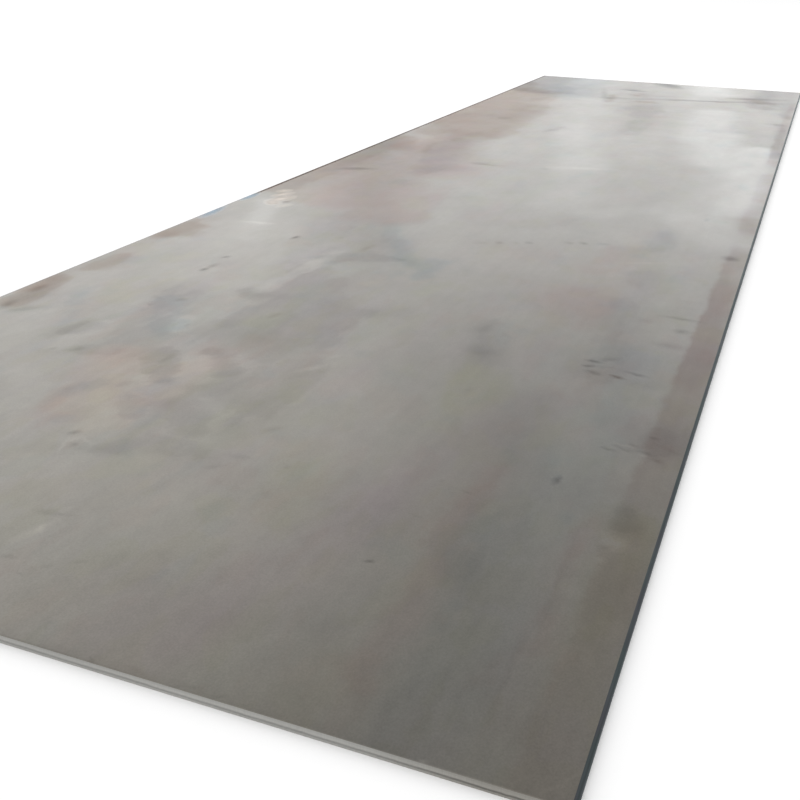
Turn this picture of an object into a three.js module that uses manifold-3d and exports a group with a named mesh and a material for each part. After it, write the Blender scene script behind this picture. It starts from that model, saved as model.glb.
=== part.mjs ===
// Steel plate, 12 x 1500 x 6000 mm: hot-rolled strip, levelled and cut to length.
//
// The two long sides are mill edges, left as the rolls made them: nothing ever squeezed them
// sideways, so the steel spread out into a nearly half-round edge. The two short ends are sheared.
// A blade rolls the surface over, burnishes a straight land, and then the rest of the thickness
// tears away, breaking back by the gap between the blades.
//
// X runs across the plate, Y along the rolling direction and Z up. The origin is the middle of
// the underside, and all sizes are in millimetres.

import * as THREE from 'three';
import { mergeVertices } from 'three/addons/utils/BufferGeometryUtils.js';
import Module from 'manifold-3d';

// The size that the plate is ordered by
const LENGTH = 6000; // over the lands of the two sheared ends
const WIDTH = 1500; // over the crowns of the two mill edges
const THICKNESS = 12;

// Mill edge: a crown, nearly a half-round, that runs into the rolled faces over two round corners
const EDGE_CROWN = 0.43 * THICKNESS; // how far the arc of the edge rises over its own chord
const EDGE_CORNER_RADIUS = 0.29 * THICKNESS;

// Sheared end: rollover, land and fracture, from the side where the blade entered
const ROLLOVER_REACH = 2.6; // how far in along the surface the pull of the blade shows
const ROLLOVER_DEPTH = 1.1; // how far down the face the rounding goes
const LAND_DEPTH = 4.9; // the straight burnished part
const BLADE_GAP = 0.9; // how far the fracture has broken back at the far surface
const TEAR_STEP = 0.3; // how much of that gap goes where the tear turns in under the land
const TEAR_TURN = 1.2; // the depth in which it turns

// How finely the curves are cut into flats
const EDGE_ARC_DIVISIONS = 5;
const SHEAR_CURVE_DIVISIONS = 6;

const millScale = new THREE.MeshStandardMaterial({
  name: 'mill_scale_steel',
  color: 0x85827d,
  roughness: 0.42,
  metalness: 0.75,
});

const wasm = await Module();
wasm.setup();

// A closed surface as a solid that can be cut.
function toSolid(geometry) {
  const shell = geometry.clone();
  shell.deleteAttribute('normal');
  shell.deleteAttribute('uv');
  const merged = mergeVertices(shell, 1e-5);
  return new wasm.Manifold(new wasm.Mesh({
    numProp: 3,
    vertProperties: new Float32Array(merged.attributes.position.array),
    triVerts: new Uint32Array(merged.index.array),
  }));
}

// The cut solid as a surface again, each facet with its own normal.
function toGeometry(solid) {
  const mesh = solid.getMesh();
  const geometry = new THREE.BufferGeometry();
  geometry.setAttribute('position', new THREE.BufferAttribute(mesh.vertProperties, mesh.numProp));
  geometry.setIndex(new THREE.BufferAttribute(mesh.triVerts, 1));
  const facets = geometry.toNonIndexed();
  facets.computeVertexNormals();
  return facets;
}

// Cross-section of the rolled strip, centred on its width, with its underside at height 0.
function stripSection() {
  const half = THICKNESS / 2;
  const crownRadius = (half * half + EDGE_CROWN * EDGE_CROWN) / (2 * EDGE_CROWN);
  const crownCentre = WIDTH / 2 - crownRadius;

  // A corner arc lies inside the crown arc and touches both it and the rolled face.
  const cornerRise = half - EDGE_CORNER_RADIUS;
  const centreGap = crownRadius - EDGE_CORNER_RADIUS;
  const cornerCentre = crownCentre + Math.sqrt(centreGap * centreGap - cornerRise * cornerRise);
  const crownHalfAngle = Math.asin(cornerRise / centreGap);

  const section = new THREE.Shape();
  section.moveTo(-cornerCentre, 0);
  section.lineTo(cornerCentre, 0);
  section.absarc(cornerCentre, EDGE_CORNER_RADIUS, EDGE_CORNER_RADIUS,
    -Math.PI / 2, -crownHalfAngle, false);
  section.absarc(crownCentre, half, crownRadius, -crownHalfAngle, crownHalfAngle, false);
  section.absarc(cornerCentre, THICKNESS - EDGE_CORNER_RADIUS, EDGE_CORNER_RADIUS,
    crownHalfAngle, Math.PI / 2, false);
  section.lineTo(-cornerCentre, THICKNESS);
  section.absarc(-cornerCentre, THICKNESS - EDGE_CORNER_RADIUS, EDGE_CORNER_RADIUS,
    Math.PI / 2, Math.PI - crownHalfAngle, false);
  section.absarc(-crownCentre, half, crownRadius,
    Math.PI - crownHalfAngle, Math.PI + crownHalfAngle, false);
  section.absarc(-cornerCentre, EDGE_CORNER_RADIUS, EDGE_CORNER_RADIUS,
    Math.PI + crownHalfAngle, Math.PI * 3 / 2, false);
  return section;
}

// The strip along Y, with a little more at each end for the shear to take off.
function rolledStrip() {
  const stripLength = LENGTH + 4 * THICKNESS;
  const strip = new THREE.ExtrudeGeometry(stripSection(), {
    depth: stripLength,
    bevelEnabled: false,
    curveSegments: EDGE_ARC_DIVISIONS,
  });
  // The section's height becomes Z, and the extrusion, which starts along +Z, runs along -Y.
  strip.rotateX(Math.PI / 2);
  strip.translate(0, stripLength / 2, 0);
  return toSolid(strip);
}

// Everything beyond a sheared end, as a shape: x is the distance out along the plate, and y is
// the height over the surface that the blade entered, so it is negative inside the plate.
function wasteSection() {
  const land = LENGTH / 2;
  const rolloverStart = land - ROLLOVER_REACH;
  const fractureEnd = land - BLADE_GAP;
  const landBottom = -ROLLOVER_DEPTH - LAND_DEPTH;
  const outside = land + 3 * THICKNESS;
  const above = THICKNESS;
  const below = -2 * THICKNESS;

  const waste = new THREE.Shape();
  waste.moveTo(outside, above);
  waste.lineTo(rolloverStart, above);
  waste.lineTo(rolloverStart, 0);
  waste.absellipse(rolloverStart, -ROLLOVER_DEPTH, ROLLOVER_REACH, ROLLOVER_DEPTH,
    Math.PI / 2, 0, true);
  waste.lineTo(land, landBottom);
  waste.quadraticCurveTo(land - TEAR_STEP, landBottom - TEAR_TURN, fractureEnd, -THICKNESS);
  waste.lineTo(fractureEnd, below);
  waste.lineTo(outside, below);
  return waste;
}

// The body that a cut takes away at the +Y end, with the blade coming from above.
function shearCut() {
  const cutWidth = WIDTH + 2 * THICKNESS;
  const cut = new THREE.ExtrudeGeometry(wasteSection(), {
    depth: cutWidth,
    bevelEnabled: false,
    curveSegments: SHEAR_CURVE_DIVISIONS,
  });
  // The section's x becomes +Y and its y becomes +Z, so the extrusion runs along +X.
  cut.applyMatrix4(new THREE.Matrix4().makeBasis(
    new THREE.Vector3(0, 1, 0), new THREE.Vector3(0, 0, 1), new THREE.Vector3(1, 0, 0)));
  cut.translate(-cutWidth / 2, 0, THICKNESS);
  return cut;
}

// One stroke of the shear makes the trailing end of one plate and the leading end of the next.
// The leading end rests on the lower blade, so its rollover is on top. The trailing end is
// pushed down by the upper blade, so its rollover is underneath.
function shearedPlate() {
  const leadingCut = shearCut();
  leadingCut.rotateZ(Math.PI);
  const trailingCut = shearCut();
  trailingCut.translate(0, 0, -THICKNESS / 2);
  trailingCut.rotateY(Math.PI);
  trailingCut.translate(0, 0, THICKNESS / 2);
  return rolledStrip().subtract(toSolid(leadingCut)).subtract(toSolid(trailingCut));
}

const steelPlate = new THREE.Mesh(toGeometry(shearedPlate()), millScale);
steelPlate.name = 'steel_plate';

const part = new THREE.Group();
part.add(steelPlate);

export default part;
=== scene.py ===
import math

import bpy
from mathutils import Matrix, Vector, noise


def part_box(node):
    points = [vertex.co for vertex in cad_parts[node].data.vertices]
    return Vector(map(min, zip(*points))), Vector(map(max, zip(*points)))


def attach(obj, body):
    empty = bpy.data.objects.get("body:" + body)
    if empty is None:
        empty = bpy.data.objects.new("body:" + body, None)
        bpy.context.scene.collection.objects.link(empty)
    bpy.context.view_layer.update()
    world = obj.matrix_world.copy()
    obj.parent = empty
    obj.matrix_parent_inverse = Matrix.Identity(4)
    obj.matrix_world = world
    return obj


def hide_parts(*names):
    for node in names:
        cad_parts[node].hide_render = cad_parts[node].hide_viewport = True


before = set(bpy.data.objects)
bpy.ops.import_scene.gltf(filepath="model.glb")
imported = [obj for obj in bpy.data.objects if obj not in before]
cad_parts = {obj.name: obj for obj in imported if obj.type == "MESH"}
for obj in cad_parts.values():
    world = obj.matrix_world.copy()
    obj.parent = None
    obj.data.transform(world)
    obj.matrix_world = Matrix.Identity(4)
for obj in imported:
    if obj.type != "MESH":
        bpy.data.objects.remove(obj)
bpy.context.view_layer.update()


# ---------------------------------------------------------------------------------------------
# The plate. One piece of hot-rolled steel, cut to length from levelled strip. Its long sides are
# mill edges, spread nearly half-round by the rolls. Its short ends are sheared: rolled over where
# the blade entered, then a straight burnished land, then a torn face that leans back.

low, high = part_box("steel_plate")
thickness = high.z - low.z
sizes = {
    "Width": high.x - low.x,
    "Length": high.y - low.y,
    "Thickness": thickness,
    "Edge Crown": 0.43 * thickness,
    "Edge Corner": 0.29 * thickness,
    "Rollover Reach": 0.0026,
    "Rollover Depth": 0.0011,
    "Land Depth": 0.0049,
    "Tear Step": 0.0003,
    "Tear Turn": 0.0012,
    "Blade Gap": 0.0009,
    "Seed": 1.0,
}

rollover_rows = 6
scaled_rows = 4  # the rows of the rollover that kept their scale
land_rows = 5
torn_rows = 11
rows = rollover_rows + land_rows + torn_rows
end_columns = 800
side_steps = 400
top_cells = (100, 400)
bottom_cells = (25, 100)

# The blank is a block whose X is the share across, from -1 to 1, and whose Y and Z are the shares
# along and up, from 0 to 1. Each ring goes round it: near end, right side, far end, left side.
verts = []
rings = []
for k in range(rows + 1):
    up = k / rows
    loop = [(2 * i / end_columns - 1, 0, up) for i in range(end_columns)]
    loop += [(1, j / side_steps, up) for j in range(side_steps)]
    loop += [(1 - 2 * i / end_columns, 1, up) for i in range(end_columns)]
    loop += [(-1, 1 - j / side_steps, up) for j in range(side_steps)]
    rings.append(range(len(verts), len(verts) + len(loop)))
    verts += loop

SCALE, LAND, TORN, EDGE = range(4)
faces = []
zones = []
around = 2 * (end_columns + side_steps)
for k in range(rows):
    for i in range(around):
        j = (i + 1) % around
        faces.append((rings[k][i], rings[k][j], rings[k + 1][j], rings[k + 1][i]))
        if i < end_columns:
            from_top = rows - 1 - k
        elif end_columns + side_steps <= i < 2 * end_columns + side_steps:
            from_top = k
        else:
            zones.append(EDGE)
            continue
        if from_top < scaled_rows:
            zones.append(SCALE)
        else:
            zones.append(LAND if from_top < rollover_rows + land_rows else TORN)


def close_face(ring, columns, lines, upward):
    """Closes a rolled face with a grid. A cell at the rim takes in all the rim points beside it."""
    per_column, per_line = end_columns // columns, side_steps // lines
    corner_right = end_columns
    corner_far = corner_right + side_steps
    corner_left = corner_far + end_columns
    up = verts[ring[0]][2]
    inner = {}
    for j in range(1, lines):
        for i in range(1, columns):
            inner[i, j] = len(verts)
            verts.append((2 * i / columns - 1, j / lines, up))

    def rim(start, count):
        return [ring[(start + n) % around] for n in range(count)]

    def corner(i, j):
        if j == 0:
            return ring[i * per_column]
        if i == columns:
            return ring[corner_right + j * per_line]
        if j == lines:
            return ring[corner_far + (columns - i) * per_column]
        if i == 0:
            return ring[corner_left + (lines - j) * per_line]
        return inner[i, j]

    for j in range(lines):
        for i in range(columns):
            cell = rim(i * per_column, per_column) if j == 0 else [corner(i, j)]
            if i == columns - 1:
                cell += rim(corner_right + j * per_line, per_line)
            else:
                cell.append(corner(i + 1, j))
            if j == lines - 1:
                cell += rim(corner_far + (columns - i - 1) * per_column, per_column)
            else:
                cell.append(corner(i + 1, j + 1))
            if i == 0:
                cell += rim(corner_left + (lines - j - 1) * per_line, per_line)
            else:
                cell.append(corner(i, j + 1))
            faces.append(cell if upward else cell[::-1])
            zones.append(SCALE)


close_face(rings[rows], *top_cells, True)
close_face(rings[0], *bottom_cells, False)

blank_mesh = bpy.data.meshes.new("blank")
blank_mesh.from_pydata(verts, [], faces)
blank_mesh.attributes.new("zone", "INT", "FACE").data.foreach_set("value", zones)
blank = bpy.data.objects.new("blank", blank_mesh)
bpy.context.scene.collection.objects.link(blank)

scale_finish = bpy.data.materials.new("mill_scale")
land_finish = bpy.data.materials.new("burnished_land")
torn_finish = bpy.data.materials.new("torn_steel")
edge_finish = bpy.data.materials.new("mill_edge")

# The tree gives each point of the blank its place: rolled at the sides, sheared at the ends
shape = bpy.data.node_groups.new("rolled_and_sheared", "GeometryNodeTree")
shape.interface.new_socket(name="Blank", in_out="INPUT", socket_type="NodeSocketGeometry")
for name in sizes:
    shape.interface.new_socket(name=name, in_out="INPUT", socket_type="NodeSocketFloat")
shape.interface.new_socket(name="Plate", in_out="OUTPUT", socket_type="NodeSocketGeometry")
given = shape.nodes.new("NodeGroupInput").outputs


def connect(tree, value, socket):
    """Feeds an input with another node's output or with a plain value."""
    if isinstance(value, bpy.types.NodeSocket):
        tree.links.new(value, socket)
    else:
        socket.default_value = value


def calc(tree, operation, *values):
    """One Math node; returns its result."""
    step = tree.nodes.new("ShaderNodeMath")
    step.operation = operation
    for value, socket in zip(values, step.inputs):
        connect(tree, value, socket)
    return step.outputs[0]


def work(operation, *values):
    return calc(shape, operation, *values)


def share(value, start, count):
    """How much of a run of rows is done, from 0 to 1."""
    done = work("DIVIDE", work("SUBTRACT", value, start), count)
    return work("MINIMUM", work("MAXIMUM", done, 0.0), 1.0)


def waver(run, depth, size, seed):
    """Smooth noise from -1 to 1 along an edge and down it, with waves of about a size in metres."""
    spot = shape.nodes.new("ShaderNodeCombineXYZ")
    connect(shape, work("DIVIDE", run, size), spot.inputs["X"])
    connect(shape, work("MULTIPLY", given["Seed"], 3.7 * seed), spot.inputs["Y"])
    connect(shape, work("DIVIDE", depth, size), spot.inputs["Z"])
    cloud = shape.nodes.new("ShaderNodeTexNoise")
    cloud.inputs["Scale"].default_value = 1.0
    cloud.inputs["Detail"].default_value = 0.0
    shape.links.new(spot.outputs[0], cloud.inputs["Vector"])
    return work("MULTIPLY_ADD", cloud.outputs["Fac"], 2.0, -1.0)


def uneven(amount_and_wave, *more):
    """1 plus some waves, each given with its amount."""
    total = 1.0
    for amount, wave in (amount_and_wave, *more):
        total = work("MULTIPLY_ADD", wave, amount, total)
    return total


# Fine relief of the ends and edges, in metres, and how high the noise has to rise for a nick
NICK_LEVEL = 0.42
DRAG_DEPTH = 0.00002
COARSE_TEAR = 0.0001
FINE_TEAR = 0.00006
DENT_DEPTH = 0.00015

start = shape.nodes.new("ShaderNodeSeparateXYZ")
shape.links.new(shape.nodes.new("GeometryNodeInputPosition").outputs[0], start.inputs[0])
across, along, up = start.outputs
half_width = work("MULTIPLY", given["Width"], 0.5)
half_length = work("MULTIPLY", given["Length"], 0.5)
cross = work("MULTIPLY", across, half_width)
row_far = work("ROUND", work("MULTIPLY", up, rows))
row_near = work("SUBTRACT", rows, row_far)


def sheared(row, seed):
    """A row of a sheared end: its depth under the surface that the blade entered, and its recess."""
    broad = waver(cross, 0.0, 0.11, seed)
    nick = work("MAXIMUM", work("SUBTRACT", waver(cross, 0.0, 0.008, seed + 8), NICK_LEVEL), 0.0)
    reach = work("MULTIPLY", given["Rollover Reach"],
                 uneven((0.25, broad), (0.12, waver(cross, 0.0, 0.02, seed + 1)), (2.5, nick)))
    rolled = work("MULTIPLY", given["Rollover Depth"],
                  uneven((0.2, broad), (0.1, waver(cross, 0.0, 0.02, seed + 2)), (2.0, nick)))
    long_waver = waver(cross, 0.0, 0.07, seed + 3)
    short_waver = waver(cross, 0.0, 0.012, seed + 4)
    straight = work("MULTIPLY", given["Land Depth"], uneven((0.12, long_waver), (0.08, short_waver)))
    tear = work("SUBTRACT", work("SUBTRACT", given["Thickness"], rolled), straight)
    turn = work("MULTIPLY", share(row, 0, rollover_rows), math.pi / 2)
    depth = work("MULTIPLY", rolled, work("SUBTRACT", 1.0, work("COSINE", turn)))
    depth = work("MULTIPLY_ADD", straight, share(row, rollover_rows, land_rows), depth)
    torn = share(row, rollover_rows + land_rows, torn_rows)
    fall = work("MULTIPLY", tear, work("SINE", work("MULTIPLY", torn, math.pi / 2)))
    depth = work("ADD", depth, fall)
    recess = work("MULTIPLY", reach, work("SUBTRACT", 1.0, work("SINE", turn)))
    drag = work("MULTIPLY", uneven((1.0, waver(cross, 0.0, 0.004, seed + 5))), DRAG_DEPTH)
    recess = work("MULTIPLY_ADD", drag, share(row, rollover_rows, 1), recess)
    turned_in = work("SQRT", work("MINIMUM", work("DIVIDE", fall, given["Tear Turn"]), 1.0))
    lean = work("MULTIPLY", given["Tear Step"], turned_in)
    rest = work("SUBTRACT", given["Blade Gap"], given["Tear Step"])
    lean = work("MULTIPLY_ADD", rest, work("DIVIDE", fall, tear), lean)
    grain = work("MULTIPLY", waver(cross, depth, 0.005, seed + 6), COARSE_TEAR)
    grain = work("MULTIPLY_ADD", waver(cross, depth, 0.0024, seed + 7), FINE_TEAR, grain)
    lean = work("MULTIPLY_ADD", grain, share(fall, 0.0, 0.0006), lean)
    return depth, work("ADD", recess, work("MAXIMUM", lean, 0.0))


def between(near, far):
    """Runs along the plate from its value at the near end to its value at the far end."""
    return work("MULTIPLY_ADD", near, work("SUBTRACT", 1.0, along), work("MULTIPLY", far, along))


# The leading end has its rollover on top and the trailing end underneath; the sides run between
depth_near, recess_near = sheared(row_near, 1)
depth_far, recess_far = sheared(row_far, 21)
z = between(work("SUBTRACT", given["Thickness"], depth_near), depth_far)
y = between(work("SUBTRACT", recess_near, half_length), work("SUBTRACT", half_length, recess_far))

# The mill edge is a flat arc, its crown, between two corner arcs that touch it and the faces
half = work("MULTIPLY", given["Thickness"], 0.5)
half_squared = work("MULTIPLY", half, half)
crown_squared = work("MULTIPLY", given["Edge Crown"], given["Edge Crown"])
twice_crown = work("MULTIPLY", given["Edge Crown"], 2.0)
crown_radius = work("DIVIDE", work("ADD", half_squared, crown_squared), twice_crown)
rise = work("SUBTRACT", half, given["Edge Corner"])
centre_gap = work("SUBTRACT", crown_radius, given["Edge Corner"])


def other_leg(long_side, leg):
    """The second leg of a right-angled triangle."""
    square = work("SUBTRACT", work("MULTIPLY", long_side, long_side), work("MULTIPLY", leg, leg))
    return work("SQRT", work("MAXIMUM", square, 0.0))


off_middle = work("ABSOLUTE", work("SUBTRACT", z, half))
on_crown = work("SUBTRACT", crown_radius, other_leg(crown_radius, off_middle))
over = work("MINIMUM", work("SUBTRACT", off_middle, rise), given["Edge Corner"])
on_corner = work("SUBTRACT", crown_radius, other_leg(centre_gap, rise))
on_corner = work("SUBTRACT", on_corner, other_leg(given["Edge Corner"], over))
crown_ends = work("DIVIDE", work("MULTIPLY", rise, crown_radius), centre_gap)
in_corner = work("GREATER_THAN", off_middle, crown_ends)
edge_recess = work("MULTIPLY_ADD", work("SUBTRACT", on_corner, on_crown), in_corner, on_crown)
# Shallow dents, none at the rims or near the ends; the two edges lie apart in the noise
either_edge = work("ADD", y, work("MULTIPLY", across, 5.0))
dent = work("MULTIPLY", uneven((1.0, waver(either_edge, z, 0.06, 40))), DENT_DEPTH)
up_the_edge = work("DIVIDE", z, given["Thickness"])
dent = work("MULTIPLY", dent, work("SINE", work("MULTIPLY", up_the_edge, math.pi)))
off_near_end = share(along, 0.0, 0.03)
off_far_end = share(work("SUBTRACT", 1.0, along), 0.0, 0.03)
dent = work("MULTIPLY", dent, work("MULTIPLY", off_near_end, off_far_end))
x = work("MULTIPLY", across, work("SUBTRACT", work("SUBTRACT", half_width, edge_recess), dent))

# How many rows down its sheared end a point lies; 0 anywhere else
down = work("MULTIPLY", row_near, work("LESS_THAN", along, 0.0001))
down = work("MULTIPLY_ADD", row_far, work("GREATER_THAN", along, 0.9999), down)
keep_row = shape.nodes.new("GeometryNodeStoreNamedAttribute")
keep_row.data_type = "FLOAT"
keep_row.domain = "POINT"
keep_row.inputs["Name"].default_value = "row_down"
shape.links.new(given["Blank"], keep_row.inputs["Geometry"])
shape.links.new(down, keep_row.inputs["Value"])
place = shape.nodes.new("ShaderNodeCombineXYZ")
for value, socket in zip((x, y, z), place.inputs):
    shape.links.new(value, socket)
moved = shape.nodes.new("GeometryNodeSetPosition")
shape.links.new(keep_row.outputs[0], moved.inputs["Geometry"])
shape.links.new(place.outputs[0], moved.inputs["Position"])
result = shape.nodes.new("GeometryNodeRealizeInstances")
shape.links.new(moved.outputs[0], result.inputs[0])
zone = shape.nodes.new("GeometryNodeInputNamedAttribute")
zone.data_type = "INT"
zone.inputs["Name"].default_value = "zone"
for number, finish in enumerate((scale_finish, land_finish, torn_finish, edge_finish)):
    coat = shape.nodes.new("GeometryNodeSetMaterial")
    coat.inputs["Material"].default_value = finish
    shape.links.new(result.outputs[0], coat.inputs["Geometry"])
    if number != SCALE:
        in_zone = work("COMPARE", zone.outputs["Attribute"], float(number), 0.5)
        shape.links.new(in_zone, coat.inputs["Selection"])
    result = coat
shape.links.new(result.outputs[0], shape.nodes.new("NodeGroupOutput").inputs["Plate"])

shaping = blank.modifiers.new("shape", "NODES")
shaping.node_group = shape
for item in shape.interface.items_tree:
    if item.name in sizes:
        shaping[item.identifier] = sizes[item.name]
shaped = bpy.context.evaluated_depsgraph_get()
plate_mesh = bpy.data.meshes.new_from_object(
    blank.evaluated_get(shaped), preserve_all_data_layers=True, depsgraph=shaped)
bpy.data.objects.remove(blank)
plate_mesh.name = "plate"
plate_mesh.polygons.foreach_set("use_smooth", [True] * len(plate_mesh.polygons))
plate_mesh.set_sharp_from_angle(angle=math.radians(40))
plate = bpy.data.objects.new("plate", plate_mesh)
bpy.context.scene.collection.objects.link(plate)

# ---------------------------------------------------------------------------------------------
# Stains on the upper face. Rust has bloomed in from the long sides, oil and water have dried into
# dull and coloured patches, and slings and rollers have rubbed other places smoother; these smoother
# places also carry a painted reflection, a slight bluish brightening. Each is a soft stroke, or
# several, laid point by point over the face.

STAINS = ("rust", "soot", "smooth_and_painted_reflection", "blue", "rose", "olive", "violet", "sand", "pale", "edge_rust")
USUAL_RIM = 0.85
strokes = {kind: [] for kind in STAINS}


def stain(kind, *lines):
    """Stains of one kind. Each runs from x0, y0 to x1, y1 and is gone at its reach, in metres; then
    comes its strength and, where it isn't the usual one, the share of its reach where it fades."""
    strokes[kind] += lines


# Brown haze that starts at the far left corner and spreads inwards
stain("soot",
    (-0.74, 2.98, -0.72, 2.3, 0.17, 1.0), (-0.62, 2.95, -0.6, 2.2, 0.17, 0.7),
    (-0.48, 0.42, -0.38, -0.12, 0.18, 0.5), (-0.4, -0.2, -0.38, -0.4, 0.09, 0.3))
stain("rust",
    (-0.73, 2.55, -0.72, 0.9, 0.14, 0.55), (-0.62, 2.15, -0.56, 0.7, 0.3, 0.75),
    (-0.45, 1.55, -0.42, 0.65, 0.18, 0.4), (-0.7, 0.4, -0.71, -0.7, 0.12, 0.5))
stain("rose",
    (-0.66, 1.3, -0.62, 0.6, 0.2, 0.2), (-0.56, 0.35, -0.36, -0.15, 0.26, 0.9),
    (-0.56, -0.1, -0.5, -0.75, 0.24, 0.9), (-0.36, -0.45, -0.28, -0.95, 0.16, 0.7),
    (-0.24, -0.6, -0.18, -0.95, 0.1, 0.4))
# Dull blue-grey across the far end, with a few darker smudges
stain("blue", (-0.46, 2.95, -0.42, 2.15, 0.26, 0.6))
stain("soot",
    (-0.44, 2.6, -0.4, 2.2, 0.16, 0.3), (-0.26, 2.55, -0.2, 2.1, 0.11, 0.25),
    (-0.1, 2.95, 0.02, 1.8, 0.24, 0.35), (0.06, 1.9, 0.12, 1.0, 0.13, 0.4),
    (-0.15, 2.6, -0.12, 2.54, 0.07, 0.5), (0.58, 2.95, 0.58, 2.2, 0.14, 0.7),
    (0.71, 2.95, 0.71, 1.9, 0.07, 0.45), (0.7, 1.65, 0.7, 1.55, 0.06, 0.4))
stain("rust",
    (0.0, 2.05, 0.14, 1.2, 0.18, 0.22), (-0.07, 2.4, -0.04, 2.3, 0.07, 0.4),
    (-0.19, 2.3, -0.16, 2.0, 0.04, 0.5), (0.0, 2.1, 0.04, 2.08, 0.07, 0.3),
    (0.5, 2.48, 0.63, 2.36, 0.1, 0.4), (0.33, 2.31, 0.39, 2.29, 0.05, 0.4))
# Places rubbed smoother, on the right and down the middle, with a painted reflection: a slight bluish
# brightening
stain("smooth_and_painted_reflection",
    (0.25, 2.98, 0.3, 2.65, 0.19, 1.0), (0.3, 2.65, 0.26, 2.35, 0.13, 0.4),
    (0.39, 1.9, 0.43, 1.0, 0.17, 0.85), (0.46, 1.15, 0.54, 0.45, 0.17, 0.95),
    (0.6, 0.8, 0.58, -0.5, 0.14, 0.5), (0.66, 0.85, 0.67, -0.35, 0.11, 1.2),
    (-0.23, 2.0, -0.15, 1.1, 0.13, 0.25), (-0.14, 1.1, -0.06, 0.6, 0.12, 0.35),
    (-0.06, 0.9, 0.06, 0.1, 0.15, 0.35), (0.08, 0.3, 0.16, -0.5, 0.15, 0.4))
# Dried water and dust, and the pinkish and yellowish oxide between
stain("pale",
    (-0.62, -0.92, -0.44, -1.45, 0.15, 0.9), (-0.7, -0.88, -0.62, -1.1, 0.1, 0.6),
    (0.3, -0.5, 0.66, -0.68, 0.2, 0.6), (0.08, -1.15, 0.2, -1.4, 0.2, 0.5),
    (0.46, -1.15, 0.49, -1.35, 0.09, 0.5))
stain("rose",
    (0.1, -1.1, 0.36, -1.45, 0.22, 0.45), (0.44, -0.95, 0.44, -1.6, 0.12, 0.5),
    (-0.3, -2.2, -0.22, -2.45, 0.11, 0.6), (-0.15, -2.1, -0.13, -2.35, 0.08, 0.5))
stain("soot",
    (-0.36, -1.0, -0.26, -1.5, 0.13, 0.3), (-0.17, -1.6, -0.14, -1.98, 0.17, 0.48),
    (-0.05, -1.8, 0.03, -2.25, 0.18, 0.36), (0.0, -2.2, 0.03, -2.5, 0.18, 0.2),
    (-0.4, -1.8, -0.32, -2.15, 0.14, 0.4), (0.28, -1.68, 0.34, -1.92, 0.06, 0.35),
    (0.5, -1.2, 0.55, -1.9, 0.11, 0.35))
stain("rust",
    (-0.72, -1.18, -0.72, -1.8, 0.075, 0.3), (-0.72, -1.85, -0.7, -2.02, 0.065, 0.65),
    (-0.72, -1.22, -0.72, -1.38, 0.05, 0.45), (-0.69, -1.6, -0.69, -1.72, 0.05, 0.3))
stain("olive",
    (-0.18, -1.7, -0.15, -2.05, 0.13, 0.22), (-0.05, -2.0, 0.05, -2.3, 0.15, 0.35),
    (0.34, -1.98, 0.36, -2.12, 0.08, 0.8), (-0.57, -1.8, -0.52, -1.92, 0.06, 0.7))
stain("violet", (-0.05, -1.7, -0.02, -1.95, 0.11, 0.35))
# Blue-grey patches where the oxide is thin, with sandy, pinkish and olive ones among them
stain("blue",
    (-0.4, -1.87, -0.315, -1.985, 0.05, 0.45, 0.4), (-0.29, -2.02, -0.215, -2.085, 0.045, 0.35, 0.4),
    (-0.3, -1.94, -0.28, -2.0, 0.026, 0.3, 0.8), (-0.2, -1.0, -0.03, -1.35, 0.06, 0.5),
    (0.036, -1.43, 0.026, -1.29, 0.05, 0.5, 0.4), (0.512, -0.88, 0.523, -0.68, 0.055, 0.22, 0.7),
    (0.6, -2.25, 0.58, -2.98, 0.12, 0.5), (0.61, -1.75, 0.62, -2.15, 0.09, 0.4))
stain("pale",
    (-0.312, -1.93, -0.288, -2.0, 0.034, 1.0, 0.6), (0.08, -1.41, 0.075, -1.33, 0.03, 0.8, 0.6),
    (-0.165, -0.97, -0.115, -1.11, 0.035, 0.6, 0.6))
stain("soot",
    (0.036, -1.42, 0.028, -1.3, 0.035, 0.15, 0.5), (-0.1, -1.2, -0.04, -1.34, 0.035, 0.2, 0.5),
    (0.508, -0.98, 0.52, -0.7, 0.05, 0.1, 0.8), (0.505, -0.9, 0.52, -0.7, 0.055, 0.25, 0.5))
stain("sand", (0.435, -0.8, 0.455, -0.89, 0.03, 0.8, 0.6))
stain("rose",
    (0.435, -0.8, 0.455, -0.89, 0.03, 0.3, 0.6), (0.48, -2.35, 0.49, -2.9, 0.04, 0.6),
    (0.65, -2.45, 0.65, -2.8, 0.03, 0.5))
stain("violet",
    (0.5, -2.05, 0.36, -2.55, 0.08, 0.6), (0.36, -2.55, 0.25, -2.95, 0.1, 0.9))
stain("olive",
    (0.2, -2.4, 0.24, -2.6, 0.09, 0.6), (0.46, -2.88, 0.44, -2.98, 0.07, 0.5))
# Sharper-edged patches on the left, where water dried in steps: sandy, dark and blue-grey by turns
stain("sand",
    (-0.3, -2.2, -0.24, -2.29, 0.085, 0.55, 0.3), (-0.165, -2.215, -0.12, -2.15, 0.042, 0.45, 0.3),
    (-0.235, -2.42, -0.175, -2.39, 0.06, 0.75, 0.3), (-0.145, -2.48, -0.175, -2.4, 0.045, 0.75, 0.3),
    (-0.05, -1.56, -0.03, -1.535, 0.035, 0.8, 0.6))
stain("soot",
    (-0.24, -2.14, -0.17, -2.275, 0.036, 0.45, 0.3), (-0.466, -2.125, -0.455, -2.075, 0.06, 0.55, 0.9),
    (-0.205, -1.96, -0.19, -1.74, 0.026, 0.28, 0.5))
stain("blue",
    (-0.178, -2.37, -0.142, -2.28, 0.03, 0.4, 0.4), (-0.28, -2.395, -0.252, -2.335, 0.03, 0.45, 0.4),
    (-0.505, -2.1, -0.534, -2.03, 0.026, 0.35, 0.5), (-0.572, -1.985, -0.628, -1.875, 0.035, 0.4, 0.5))
stain("rust", (-0.288, -2.44, -0.291, -2.375, 0.025, 0.22, 0.5))
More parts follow.
